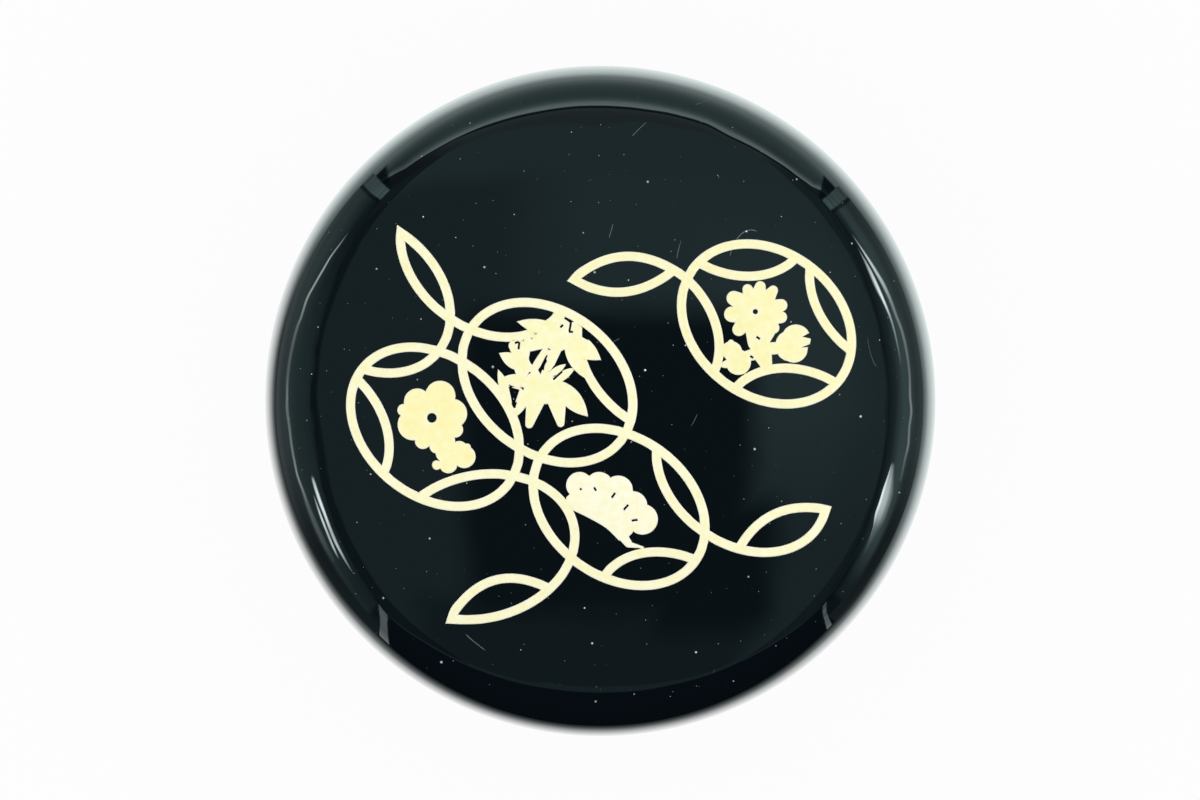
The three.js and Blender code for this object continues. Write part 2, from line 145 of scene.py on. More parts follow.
def lid_side(low):
    """The lid's side from the shoulder down to a height, in arcs that ease out to the seam."""
    lean = SIDE_TOP_LEAN
    points = [along(SHOULDER_CENTRE, SHOULDER_RADIUS, UP - lean)]
    for radius, next_lean in SIDE_EASES:
        centre = along(points[-1], -radius, UP - lean)
        points += arc(centre, radius, UP - lean, UP - next_lean)[1:]
        lean = next_lean
    across = SEAM_RADIUS - points[-1][0]
    drop = points[-1][1] - low
    seam_lean = 2 * math.atan2(across, drop) - lean
    radius = drop / (math.sin(lean) - math.sin(seam_lean))
    centre = along(points[-1], -radius, UP - lean)
    return points + arc(centre, radius, UP - lean, UP - seam_lean)[1:]


def lid_profile():
    ceiling_radius = DOME_RADIUS - LID_CROWN
    corner_x = LID_INNER - LID_CORNER_RADIUS
    corner_reach = ceiling_radius - LID_CORNER_RADIUS
    corner_y = DOME_CENTRE[1] + math.sqrt(corner_reach**2 - corner_x**2)
    corner_tilt = math.asin(corner_x / corner_reach)
    low = SEAM_HEIGHT + EDGE_ROUND
    return [
        *arc(DOME_CENTRE, DOME_RADIUS, 0, DOME_SLOPE),
        *arc(EASE_CENTRE, EASE_RADIUS, DOME_SLOPE, SHOULDER_TILT),
        *arc(SHOULDER_CENTRE, SHOULDER_RADIUS, SHOULDER_TILT, UP - SIDE_TOP_LEAN),
        *lid_side(low),
        *edge(SEAM_RADIUS - EDGE_ROUND, low, UP, DOWN),
        *edge(LID_INNER + EDGE_ROUND, low, DOWN, DOWN + UP),
        *arc((corner_x, corner_y), LID_CORNER_RADIUS, UP, corner_tilt),
        *arc(DOME_CENTRE, ceiling_radius, corner_tilt, 0),
    ]


def body_profile():
    foot_radius = SEAM_RADIUS - FOOT_INSET
    foot_tilt = DOWN - FOOT_SLOPE
    heel_centre = along((foot_radius, 0), -HEEL_RADIUS, foot_tilt)
    across = SEAM_RADIUS - heel_centre[0]
    rise = SEAM_HEIGHT - heel_centre[1]
    belly_radius = (across**2 + rise**2 - HEEL_RADIUS**2) / (2 * (across - HEEL_RADIUS))
    belly_centre = (SEAM_RADIUS - belly_radius, SEAM_HEIGHT)
    heel_tilt = math.atan2(heel_centre[0] - belly_centre[0], heel_centre[1] - belly_centre[1])
    ledge_tilt = UP + math.asin(EDGE_ROUND / belly_radius)

    neck_outer = LID_INNER - NECK_CLEARANCE
    neck_inner = neck_outer - NECK_WALL
    neck_top = SEAM_HEIGHT + NECK_HEIGHT - EDGE_ROUND
    floor_height = FOOT_RECESS + FLOOR_THICKNESS
    inside_radius = neck_inner - belly_centre[0]
    inner_y = floor_height + INNER_HEEL_RADIUS
    inner_reach = inside_radius - INNER_HEEL_RADIUS
    inner_x = belly_centre[0] + math.sqrt(inner_reach**2 - (inner_y - SEAM_HEIGHT) ** 2)
    inner_tilt = math.atan2(inner_x - belly_centre[0], inner_y - belly_centre[1])
    return [
        (0, FOOT_RECESS),
        (foot_radius - FOOT_RING_WIDTH - FOOT_RECESS, FOOT_RECESS),
        (foot_radius - FOOT_RING_WIDTH, 0),
        *arc(heel_centre, HEEL_RADIUS, foot_tilt, heel_tilt),
        *arc(belly_centre, belly_radius, heel_tilt, ledge_tilt),
        *edge(SEAM_RADIUS - EDGE_ROUND, SEAM_HEIGHT - EDGE_ROUND, UP, 0),
        (neck_outer, SEAM_HEIGHT),
        *edge(neck_outer - EDGE_ROUND, neck_top, UP, 0),
        *edge(neck_inner + EDGE_ROUND, neck_top, 0, -UP),
        *arc(belly_centre, inside_radius, UP, inner_tilt),
        *arc((inner_x, inner_y), INNER_HEEL_RADIUS, inner_tilt, DOWN),
        (0, floor_height),
    ]


def new_object(name, data):
    made = bpy.data.objects.new(name, data)
    bpy.context.scene.collection.objects.link(made)
    return made


def turned(name, profile):
    """A closed turned solid; the profile starts and ends on the axis."""
    outline = [profile[0]]
    for p in profile[1:]:
        if math.dist(p, outline[-1]) > WELD:
            outline.append(p)
    rings = outline[1:-1]
    points = [(0, 0, outline[0][1])]
    for radius, height in rings:
        for step in range(TURN_STEPS):
            turn = math.tau * step / TURN_STEPS
            points.append((radius * math.cos(turn), radius * math.sin(turn), height))
    points.append((0, 0, outline[-1][1]))

    def at(ring, step):
        return 1 + ring * TURN_STEPS + step % TURN_STEPS

    last = len(points) - 1
    end = len(rings) - 1
    faces = []
    for step in range(TURN_STEPS):
        faces.append((0, at(0, step), at(0, step + 1)))
        for ring in range(end):
            low, high = at(ring, step), at(ring, step + 1)
            faces.append((low, low + TURN_STEPS, high + TURN_STEPS, high))
        faces.append((last, at(end, step + 1), at(end, step)))
    mesh = bpy.data.meshes.new(name)
    mesh.from_pydata(points, [], faces)
    solid = bmesh.new()
    solid.from_mesh(mesh)
    bmesh.ops.recalc_face_normals(solid, faces=solid.faces)
    solid.to_mesh(mesh)
    solid.free()
    mesh.shade_smooth()
    mesh.set_sharp_from_angle(angle=SHARP_ANGLE)
    return new_object(name, mesh)


# Gold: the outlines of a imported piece, smoothed and laid on the dome again with rounded edges
def outlines(node):
    """Closed loops of (x, y) around the top of a gold node, gold on their left."""
    flat = bmesh.new()
    flat.from_mesh(node.data)
    bmesh.ops.remove_doubles(flat, verts=flat.verts, dist=WELD)
    half = GOLD_THICKNESS / 2
    on_top = {v for v in flat.verts if v.co.z > dome_height(v.co.x, v.co.y) + half}
    below = [f for f in flat.faces if not on_top.issuperset(f.verts)]
    bmesh.ops.delete(flat, geom=below, context="FACES")
    after = {}
    for rim in flat.edges:
        if rim.is_boundary:
            loop = rim.link_loops[0]
            after[loop.vert] = loop.link_loop_next.vert
    loops = []
    while after:
        start, vert = after.popitem()
        loop = [start]
        while vert is not start:
            loop.append(vert)
            vert = after.pop(vert)
        loops.append([Vector((v.co.x, v.co.y)) for v in loop])
    flat.free()
    return loops


def pointed(loop):
    """The loop with the ragged ends of its leaves drawn to a point."""
    for x, y in LEAF_TIPS:
        tip = Vector((x, y)) * MM
        near = [(p - tip).length < TIP_REACH for p in loop]
        if any(near):
            loop = [
                tip if here else p
                for i, (p, here) in enumerate(zip(loop, near))
                if not (here and near[i - 1])
            ]
    return loop


def turns(loop):
    """Signed turn at each point of a loop."""
    found = []
    for i, p in enumerate(loop):
        before = p - loop[i - 1]
        after = loop[(i + 1) % len(loop)] - p
        cross = before.x * after.y - before.y * after.x
        found.append(math.atan2(cross, before.dot(after)))
    return found


def corners(loop):
    """Points that stay sharp: a strong turn, or a turn that its neighbours don't share."""
    turn = turns(loop)
    count = len(loop)
    kept = set()
    for i, t in enumerate(turn):
        beside = (turn[i - 1], turn[(i + 1) % count])
        shared = any(b * t > 0 and abs(b) > abs(t) / 2 for b in beside)
        if abs(t) > CORNER_TURN or (abs(t) > SOFT_TURN and not shared):
            kept.add(i)
    return kept


def smooth_loop(loop):
    """A smooth curve through the loop's points, in short even steps."""
    kept = corners(loop)
    count = len(loop)
    out = []
    for i in range(count):
        p1, p2 = loop[i], loop[(i + 1) % count]
        p0 = p1 * 2 - p2 if i in kept else loop[i - 1]
        p3 = p2 * 2 - p1 if (i + 1) % count in kept else loop[(i + 2) % count]
        span = (p2 - p1).length
        start = (p2 - p0) * (span / (span + (p1 - p0).length))
        end = (p3 - p1) * (span / ((p3 - p2).length + span))
        steps = max(1, round(span / OUTLINE_STEP))
        for step in range(steps):
            t = step / steps
            out.append(
                p1 * (2 * t**3 - 3 * t**2 + 1)
                + start * (t**3 - 2 * t**2 + t)
                + p2 * (3 * t**2 - 2 * t**3)
                + end * (t**3 - t**2)
            )
    return out


def inward(loop):
    """Directions from each point of a loop into the gold."""
    found = []
    for i in range(len(loop)):
        run = loop[(i + 1) % len(loop)] - loop[i - 1]
        found.append(Vector((-run.y, run.x)).normalized())
    return found


def filled(spots, rims):
    """Vertices, faces on the gold's side of the rims, and where each given spot went."""
    verts, _, faces, sources = delaunay_2d_cdt(spots, rims, [], 0, FILL_WELD)[:4]
    at = {source: i for i, found in enumerate(sources) for source in found}
    owner = {}
    for index, face in enumerate(faces):
        for i, vert in enumerate(face):
            owner[face[i - 1], vert] = index
    fence = {(at[a], at[b]) for a, b in rims}
    waiting = [owner[step] for step in fence if step in owner]
    kept = set()
    while waiting:
        index = waiting.pop()
        if index in kept:
            continue
        kept.add(index)
        face = faces[index]
        for i, vert in enumerate(face):
            step = (face[i - 1], vert)
            if step not in fence and step[::-1] in owner:
                waiting.append(owner[step[::-1]])
    return verts, [tuple(faces[i]) for i in sorted(kept)], at


def points_tree(points):
    tree = KDTree(len(points))
    for i, p in enumerate(points):
        tree.insert((p.x, p.y, 0), i)
    tree.balance()
    return tree


def joined(loop, beside):
    """Which points of a loop meet the gold of another piece just outside it."""
    met = []
    for p, way in zip(loop, inward(loop)):
        near = beside.find_range((p.x, p.y, 0), JOIN_REACH)
        met.append(any((Vector(spot[:2]) - p).dot(way) < 0 for spot, _, _ in near))
    return met


def closed_up(loop, met):
    """The loop with its joined stretches moved out over the thin gap."""
    out = []
    count = len(loop)
    for i, (p, way) in enumerate(zip(loop, inward(loop))):
        after = (i + 1) % count
        run = min((p - loop[i - 1]).length, (loop[after] - p).length)
        moves = met[i - 1] and met[i] and met[after] and run > JOIN_SPAN
        out.append(p - way * JOIN_MOVE if moves else p)
    return out


def gold_piece(name, loops, beside):
    """Raised gold inside its outlines: rounded edges, but level where it joins another piece."""
    flat, level, rims, ways = [], [], [], []
    for loop in loops:
        first = len(flat)
        count = len(loop)
        met = joined(loop, beside)
        flat.extend(closed_up(loop, met))
        level.extend(met)
        rims.extend((first + i, first + (i + 1) % count) for i in range(count))
        ways.extend(inward(loop))
    tree = points_tree(flat)

    spots = list(flat)
    rows = [(0, i) for i in range(len(flat))]
    for row, reach in enumerate(GOLD_INSETS[1:], start=1):
        for i, (p, way) in enumerate(zip(flat, ways)):
            spot = p + way * reach
            if tree.find((spot.x, spot.y, 0))[2] > reach * ROW_CLEARANCE:
                spots.append(spot)
                rows.append((row, i))
    top, top_faces, top_at = filled(spots, rims)
    bottom, bottom_faces, bottom_at = filled(flat, rims)

    points, normals, highlight_values = [], [], []
    source_of = {i: source for source, i in top_at.items()}
    for i, spot in enumerate(top):
        row, rim_point = rows[source_of[i]]
        if level[rim_point]:
            row = len(GOLD_INSETS) - 1
        up = dome_normal(spot.x, spot.y)
        out = Vector((-ways[rim_point].x, -ways[rim_point].y, 0))
        tilt = GOLD_TILTS[row]
        lift = GOLD_THICKNESS * GOLD_LIFTS[row]
        points.append((spot.x, spot.y, dome_height(spot.x, spot.y) + lift))
        normals.append((up * math.cos(tilt) + out * math.sin(tilt)).normalized())
        # Share of the painted edge highlight: full at the outline, none on the level middle
        highlight_values.append(GOLD_EDGE_HIGHLIGHTS[row])
    shift = len(points)
    for spot in bottom:
        points.append((spot.x, spot.y, dome_height(spot.x, spot.y) - GOLD_BED))
        normals.append(-dome_normal(spot.x, spot.y))
        highlight_values.append(0.0)
    faces = list(top_faces)
    faces += [tuple(shift + i for i in reversed(face)) for face in bottom_faces]
    faces += [
        (top_at[b], top_at[a], shift + bottom_at[a], shift + bottom_at[b]) for a, b in rims
    ]
    mesh = bpy.data.meshes.new(name)
    mesh.from_pydata(points, [], faces)
    mesh.attributes.new("rim", "FLOAT", "POINT").data.foreach_set("value", highlight_values)
    mesh.shade_smooth()
    mesh.normals_split_custom_set_from_vertices(normals)
    return new_object(name, mesh)


# Shader helpers: places and sizes in metres, and a noise given as (scale per metre, detail)
UNIT = (0.0, 1.0)
FALLING = (1.0, 0.0)
NOISE_SPAN = (0.3, 0.7)
# Sockets of a Mix node for colours
MIX_FACTOR, MIX_FIRST, MIX_SECOND, MIX_RESULT = 0, 6, 7, 2


def add(tree, kind, inputs=None, **settings):
    made = tree.nodes.new(kind)
    for key, value in settings.items():
        setattr(made, key, value)
    for key, value in (inputs or {}).items():
        if isinstance(value, bpy.types.NodeSocket):
            tree.links.new(value, made.inputs[key])
        else:
            made.inputs[key].default_value = value
    return made


def new_material(name):
    material = bpy.data.materials.new(name)
    material.use_nodes = True
    material.node_tree.nodes.clear()
    return material, material.node_tree


def place(tree):
    return add(tree, "ShaderNodeTexCoord").outputs["Object"]


def parts_of(tree, vector):
    return add(tree, "ShaderNodeSeparateXYZ", {0: vector}).outputs


def attribute(tree, name):
    return add(tree, "ShaderNodeAttribute", attribute_name=name).outputs["Fac"]


def noise(tree, where, scale, detail):
    inputs = {"Vector": where, "Scale": scale, "Detail": detail}
    return add(tree, "ShaderNodeTexNoise", inputs).outputs["Fac"]


def remap(tree, value, span, levels=UNIT, kind="LINEAR"):
    """Levels from first to last as the value crosses the span, held outside it."""
    inputs = {
        "Value": value,
        "From Min": span[0],
        "From Max": span[1],
        "To Min": levels[0],
        "To Max": levels[1],
    }
    return add(tree, "ShaderNodeMapRange", inputs, interpolation_type=kind).outputs["Result"]


def eased(tree, value, span, levels=UNIT):
    return remap(tree, value, span, levels, "SMOOTHSTEP")


def mottled(tree, where, texture, levels=UNIT):
    return remap(tree, noise(tree, where, *texture), NOISE_SPAN, levels)


def maths(tree, operation, first, *others):
    """The operation on its numbers, from left to right."""
    for other in others or (0.0,):
        inputs = {0: first, 1: other}
        first = add(tree, "ShaderNodeMath", inputs, operation=operation).outputs[0]
    return first


def plus(tree, *values):
    return maths(tree, "ADD", *values)


def minus(tree, *values):
    return maths(tree, "SUBTRACT", *values)


def times(tree, *values):
    return maths(tree, "MULTIPLY", *values)


def most(tree, *values):
    return maths(tree, "MAXIMUM", *values)


def between(tree, value, low, high, soft):
    """1 from low to high, falling smoothly to 0 over soft outside them."""
    rise = eased(tree, value, (low - soft, low))
    fall = eased(tree, value, (high, high + soft), FALLING)
    return times(tree, rise, fall)


def blended(tree, factor, first, second):
    """A number between two others."""
    return plus(tree, first, times(tree, factor, minus(tree, second, first)))


def dimmed(tree, share, level):
    """1 where the share is 0, down to the level where it is 1."""
    return remap(tree, share, UNIT, (1.0, level))


def mixed(tree, factor, first, second, blend="MIX"):
    inputs = {MIX_FACTOR: factor, MIX_FIRST: first, MIX_SECOND: second}
    made = add(tree, "ShaderNodeMix", inputs, data_type="RGBA", blend_type=blend)
    return made.outputs[MIX_RESULT]


def curve_of(tree, value, stops, span):
    """A value read from (position, level) stops along 0 to span."""
    ramp = add(tree, "ShaderNodeValToRGB", {0: maths(tree, "DIVIDE", value, span)})
    points = ramp.color_ramp.elements
    peak = max(level for _, level in stops)
    while len(points) < len(stops):
        points.new(0.5)
    for point, (position, level) in zip(points, stops):
        point.position = position / span
        point.color = (level / peak, level / peak, level / peak, 1)
    return times(tree, ramp.outputs[0], peak)


def seen(tree):
    """1 for the rays that show a background: from the camera, mirrored or through glass."""
    path = add(tree, "ShaderNodeLightPath").outputs
    return most(tree, path["Is Camera Ray"], path["Is Glossy Ray"], path["Is Transmission Ray"])


# Lacquer
LACQUER = (0.0018, 0.0036, 0.0055, 1)
LACQUER_SHEEN = (0.6, 1.0, 0.99, 1)
LACQUER_IOR = 1.5
HAZE = (95.0, 3.0)
HAZE_SPAN = (0.35, 0.7)
POLISH = (0.018, 0.045)
WAVES = (210.0, 1.0)
WAVE_STRENGTH = 0.05
WAVE_DEPTH = 0.4 * MM
# Dust: cells per metre, speck sizes as shares of a cell, share of the cells that hold a speck
DUST = (0.72, 0.74, 0.72, 1)
COARSE_DUST = (200.0, (0.008, 0.03), 0.75)
FINE_DUST = (430.0, (0.01, 0.026), 0.5)
FINE_DUST_LEVEL = 0.5
DUST_ROUGHNESS = 0.7
DUST_FACING = (0.6, 0.95)
SPECK_POWER = 2.0
SPECK_EDGE = (0.55, 1.0)
SPECK_LEVELS = (0.3, 1.0)
# Hairs: lines along the middle of one noise, in short runs where another is high
HAIR_LINES = (130.0, 0.0)
HAIR_MIDDLE = 0.5
HAIR_EDGE = (0.0006, 0.0018)
HAIR_LEVELS = (0.25, 0.0)
HAIR_RUNS = (330.0, 0.0)
HAIR_RUN_SPAN = (0.72, 0.75)


def specks(tree, where, cells, sizes, share):
    """Round specks, at most one in a cell and most of them small."""
    inputs = {"Vector": where, "Scale": cells}
    found = add(tree, "ShaderNodeTexVoronoi", inputs, voronoi_dimensions="2D").outputs
    drawn = add(tree, "ShaderNodeSeparateColor", {0: found["Color"]}).outputs
    size = remap(tree, maths(tree, "POWER", drawn[0], SPECK_POWER), UNIT, sizes)
    spot = eased(tree, maths(tree, "DIVIDE", found["Distance"], size), SPECK_EDGE, FALLING)
    kept = maths(tree, "LESS_THAN", drawn[1], share)
    bright = remap(tree, drawn[2], UNIT, SPECK_LEVELS)
    return times(tree, spot, kept, bright)


def lacquer_material():
    """Polished black lacquer with a faint polish haze, a slow waviness, dust and a few hairs."""
    material, tree = new_material("black_lacquer")
    where = place(tree)
    polish = remap(tree, noise(tree, where, *HAZE), HAZE_SPAN, POLISH)

    coarse = specks(tree, where, *COARSE_DUST)
    fine = times(tree, specks(tree, where, *FINE_DUST), FINE_DUST_LEVEL)
    beside = maths(tree, "ABSOLUTE", minus(tree, noise(tree, where, *HAIR_LINES), HAIR_MIDDLE))
    runs = remap(tree, noise(tree, where, *HAIR_RUNS), HAIR_RUN_SPAN)
    hairs = times(tree, remap(tree, beside, HAIR_EDGE, HAIR_LEVELS), runs)
    normal = add(tree, "ShaderNodeNewGeometry").outputs["Normal"]
    upward = remap(tree, parts_of(tree, normal)[2], DUST_FACING)
    dust = times(tree, most(tree, coarse, fine, hairs), upward)

    bump = add(tree, "ShaderNodeBump", {
        "Strength": WAVE_STRENGTH,
        "Distance": WAVE_DEPTH,
        "Height": noise(tree, where, *WAVES),
    })
    shader = add(tree, "ShaderNodeBsdfPrincipled", {
        "Base Color": mixed(tree, dust, LACQUER, DUST),
        "Roughness": most(tree, polish, times(tree, dust, DUST_ROUGHNESS)),
        "IOR": LACQUER_IOR,
        "Specular Tint": LACQUER_SHEEN,
        "Normal": bump.outputs["Normal"],
    })
    add(tree, "ShaderNodeOutputMaterial", {"Surface": shader.outputs["BSDF"]})
    return material


# Gold
# Each piece's tint; the differences between them are painted light, the pine's paler tint standing
# in for the brighter light it reflects
GOLD_COLOURS = {
    "linked_rings": (0.955, 0.95, 0.66),
    "single_ring": (0.93, 0.92, 0.58),
    "plum": (0.968, 0.935, 0.54),
    "bamboo": (0.955, 0.948, 0.62),
    "pine": (0.97, 0.97, 0.77),
    "chrysanthemum": (0.935, 0.92, 0.55),
}
GOLD_DEEPER = (0.97, 0.945, 0.74)
GOLD_HIGHLIGHT_COLOUR = (0.94, 0.94, 0.86, 1)
GOLD_HIGHLIGHT_SHARE = 0.45
GOLD_GRAIN = (9000.0, 2.0)
GOLD_BLOTCHES = (1300.0, 4.0)
GOLD_POWDER = (0.955, 1.0)
GRAIN_STRENGTH = 0.25
GRAIN_DEPTH = 0.02 * MM
GOLD_METALLIC = 0.06
GOLD_ROUGHNESS = (0.42, 0.58)


def gold_material(name, colour):
    """Pale powdered gold: fine grain, soft blotches, a painted highlight paler along its edges,
    satin.
    """
    material, tree = new_material(name)
    where = place(tree)
    deep = tuple(c * f for c, f in zip(colour, GOLD_DEEPER))
    tone = mixed(tree, mottled(tree, where, GOLD_BLOTCHES), deep + (1,), colour + (1,))
    # Painted highlight: the gold is mixed paler towards its edges, standing in for the rounded edge
    # catching the light
    painted_edge_highlight = times(tree, attribute(tree, "rim"), GOLD_HIGHLIGHT_SHARE)
    pale = mixed(tree, painted_edge_highlight, tone, GOLD_HIGHLIGHT_COLOUR)
    grain = noise(tree, where, *GOLD_GRAIN)
    powder = remap(tree, grain, NOISE_SPAN, GOLD_POWDER)
    bump = add(tree, "ShaderNodeBump", {
        "Strength": GRAIN_STRENGTH,
        "Distance": GRAIN_DEPTH,
        "Height": grain,
    })
    shader = add(tree, "ShaderNodeBsdfPrincipled", {
        "Base Color": mixed(tree, 1.0, pale, powder, "MULTIPLY"),
        "Metallic": GOLD_METALLIC,
        "Roughness": remap(tree, grain, NOISE_SPAN, GOLD_ROUGHNESS),
        "Normal": bump.outputs["Normal"],
    })
    add(tree, "ShaderNodeOutputMaterial", {"Surface": shader.outputs["BSDF"]})
    return material


# The two turned pieces and the six pieces of gold
lacquer = lacquer_material()
for name, node, body, profile in (
    ("turned_body", "body", "caddy_body", body_profile()),
    ("turned_lid", "lid", "caddy_lid", lid_profile()),
):
    piece = turned(name, profile)
    piece.data.materials.append(lacquer)
    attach(piece, body)
    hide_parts(node)

gold_loops = {
    kind: [smooth_loop(pointed(loop)) for loop in outlines(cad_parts["gold_" + kind])]
    for kind in GOLD_COLOURS
}
for kind, colour in GOLD_COLOURS.items():
    others = [
        p for other, loops in gold_loops.items() if other != kind for loop in loops for p in loop
    ]
    piece = gold_piece("raised_" + kind, gold_loops[kind], points_tree(others))
    piece.data.materials.append(gold_material("gold_" + kind, colour))
    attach(piece, "caddy_lid")
    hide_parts("gold_" + kind)


# Light box, seen only in reflections: a bright sheet at the back, streaks of light on both sides, a
# dim top with the camera's dark opening, a dark front, lit posts at the back and bars at the front
BOX_LEFT = -0.1248
BOX_RIGHT = 0.1375
BOX_FRONT = -0.13
BOX_BACK = 0.1185
BOX_TOP = 0.2068
BACK_GAP = 0.0032
WALL_FOOT = 0.0005
WHITE = (1, 1, 1, 1)
STREAK_COLOUR = (1, 0.7, 0.7, 1)
BAR_COLOUR = (1, 0.8, 0.8, 1)
SHEET_EDGE_COLOUR = (1, 0.8, 0.8, 1)


def emission(name, level_of, colour=WHITE, streaked=False):
    """A lit panel, its colour plain or from nodes; a streaked one adds its glow attribute."""
    material, tree = new_material(name)
    where = place(tree)
    tint = colour(tree, where) if callable(colour) else colour
    inputs = {"Color": tint, "Strength": level_of(tree, where)}
    lit = add(tree, "ShaderNodeEmission", inputs).outputs[0]
    if streaked:
        inputs = {"Color": STREAK_COLOUR, "Strength": attribute(tree, "glow")}
        glow = add(tree, "ShaderNodeEmission", inputs).outputs[0]
        lit = add(tree, "ShaderNodeAddShader", {0: lit, 1: glow}).outputs[0]
    add(tree, "ShaderNodeOutputMaterial", {"Surface": lit})
    return material


# Back sheet: light levels by height, with its top edge at EDGE_AT
BACK_LEVELS = (
    (0.0, 1.27), (0.016, 1.28), (0.032, 1.12), (0.0445, 0.96), (0.056, 0.8), (0.071, 0.71),
    (0.086, 0.64), (0.1, 0.63), (0.117, 0.77), (0.131, 1.25), (0.1415, 2.05), (0.149, 2.9),
    (0.157, 3.2), (0.162, 3.9), (0.1643, 1.7), (0.166, 0.05), (0.1725, 0.05), (0.1755, 0.6),
    (0.185, 0.51), (0.197, 0.43),
)
BACK_SPAN = BOX_TOP + 0.05
EDGE_AT = 0.165
EDGE_SOFT = 0.003
# The edge's real height along x; higher up, the levels are shifted to follow it
SHEET_EDGE = (
    (-0.116, 0.11), (-0.1, 0.149), (-0.075, 0.159), (-0.055, 0.163), (0.045, 0.165),
    (0.058, 0.179), (0.085, 0.186), (0.104, 0.186), (0.116, 0.172), (0.123, 0.14),
)
ARCH_HEIGHTS = (0.06, 0.11)
WARM_HEIGHTS = (0.1, 0.15)
# The sheet's slanted ends, the foot that runs on past them, and the level beside them
SHEET_LEFT = (-0.113, -0.1095)
SHEET_RIGHT = (0.119, 0.1212)
SLANT = 0.06
SLANT_FROM = 0.09
SHEET_FOOT = (0.034, 0.046)
BESIDE_LEVEL = 0.06
# Dim over the sheet beyond its middle, and towards its left end
SHEET_MIDDLE = (-0.06, 0.075, 0.03)
OVER_LEVEL = 0.4
LEFT_FADE = (-0.11, -0.065)
LEFT_FADE_LEVELS = (0.55, 1.0)


def back_level(tree, where):
    """Bright sheet with a curved top that stops short of the corners, dark beside its ends."""
    x, _, z = parts_of(tree, where)
    stops = [(at - BOX_LEFT, height) for at, height in SHEET_EDGE]
    top = curve_of(tree, minus(tree, x, BOX_LEFT), stops, BOX_RIGHT - BOX_LEFT)
    high = eased(tree, z, ARCH_HEIGHTS)
    arched = plus(tree, z, times(tree, high, minus(tree, EDGE_AT, top)))
    slanted = times(tree, minus(tree, z, SLANT_FROM), SLANT)
    right_end = eased(tree, minus(tree, x, slanted), SHEET_RIGHT, FALLING)
    left_end = eased(tree, plus(tree, x, slanted), SHEET_LEFT)
    foot = eased(tree, z, SHEET_FOOT, FALLING)
    shown = most(tree, times(tree, right_end, left_end), foot, BESIDE_LEVEL)
    over = eased(tree, arched, (EDGE_AT, EDGE_AT + EDGE_SOFT))
    outer = minus(tree, 1.0, between(tree, x, *SHEET_MIDDLE))
    dim = dimmed(tree, times(tree, over, outer), OVER_LEVEL)
    fade = blended(tree, high, 1.0, eased(tree, x, LEFT_FADE, LEFT_FADE_LEVELS))
    level = curve_of(tree, arched, BACK_LEVELS, BACK_SPAN)
    return times(tree, level, dim, fade, shown)


def sheet_colour(tree, where):
    """Warmer towards the bright top edge."""
    high = eased(tree, parts_of(tree, where)[2], WARM_HEIGHTS)
    return mixed(tree, high, WHITE, SHEET_EDGE_COLOUR)


# Side panels: light levels by height
RIGHT_LEVELS = (
    (0.0, 0.48), (0.041, 0.5), (0.054, 0.5), (0.073, 0.64), (0.09, 0.9), (0.109, 1.1),
    (0.129, 1.15), (0.151, 1.0), (0.174, 0.7), (0.187, 0.46), (0.2, 0.3), (0.2068, 0.26),
)
LEFT_LEVELS = (
    (0.0, 0.45), (0.012, 0.52), (0.029, 0.62), (0.043, 0.57), (0.061, 0.68), (0.0775, 0.7),
    (0.0934, 0.65), (0.11, 0.55), (0.128, 0.46), (0.149, 0.48), (0.164, 0.43), (0.1755, 0.4),
    (0.19, 0.37), (0.2, 0.27), (0.2045, 0.16), (0.2055, 0.07),
)
SIDE_NOISE = (30.0, 3.0)
SIDE_UNEVEN = (-0.008, 0.008)
# Fading to the front, low and high on a panel, and the heights where one turns into the other
FRONT_LOW = (-0.07, -0.01)
FRONT_HIGH = (-0.105, -0.06)
FRONT_HEIGHTS = (0.07, 0.1)
# Level at the front, low and high, on either panel, and the darker end of the high part
RIGHT_FRONT = (0.28, 0.2)
LEFT_FRONT = (0.22, 0.55)
FRONT_END = (-0.118, -0.112)
FRONT_END_LEVELS = (0.3, 1.0)
# Fading to the back, in the same way
REAR_LOW = (0.05, 0.115)
REAR_LOW_LEVELS = (1.0, 0.75)
REAR_HIGH = (0.01, 0.09)
REAR_HIGH_LEVELS = (1.0, 0.4)
REAR_HEIGHTS = (0.12, 0.165)
# Dark line near the post at the back
POST_LINE = (0.1096, 0.1118, 0.001)
POST_LINE_LEVEL = 0.3


def side_level(levels, front_low, front_high):
    """Levels by height, dimmer to the front and high at the back, with a line near the post."""
    def level(tree, where):
        _, y, z = parts_of(tree, where)
        uneven = mottled(tree, where, SIDE_NOISE, SIDE_UNEVEN)
        base = curve_of(tree, plus(tree, z, uneven), levels, BOX_TOP)
        low = eased(tree, y, FRONT_LOW, (front_low, 1.0))
        high = times(tree, eased(tree, y, FRONT_HIGH, (front_high, 1.0)),
                     eased(tree, y, FRONT_END, FRONT_END_LEVELS))
        front = blended(tree, eased(tree, z, FRONT_HEIGHTS), low, high)
        low = eased(tree, y, REAR_LOW, REAR_LOW_LEVELS)
        high = eased(tree, y, REAR_HIGH, REAR_HIGH_LEVELS)
        rear = blended(tree, eased(tree, z, REAR_HEIGHTS), low, high)
        line = dimmed(tree, between(tree, y, *POST_LINE), POST_LINE_LEVEL)
        return times(tree, base, times(tree, front, rear, line))
    return level


right_level = side_level(RIGHT_LEVELS, *RIGHT_FRONT)
left_level = side_level(LEFT_LEVELS, *LEFT_FRONT)

# Top sheet: its level from left to right, a dip at the right, and a brighter patch.
# A patch is (from, to, softness) along x and then along y
TOP_RISE = (-0.05, 0.0)
TOP_LEVELS = (0.27, 0.46)
TOP_DIP = (0.085, 0.115)
TOP_DIP_LEVELS = (0.0, 0.07)
BRIGHT_PATCH = ((0.06, 0.1, 0.03), (0.0, 0.05, 0.03))
BRIGHT_GAIN = 0.08
FAR = 1.0
EVERYWHERE = (-FAR, FAR, FAR)
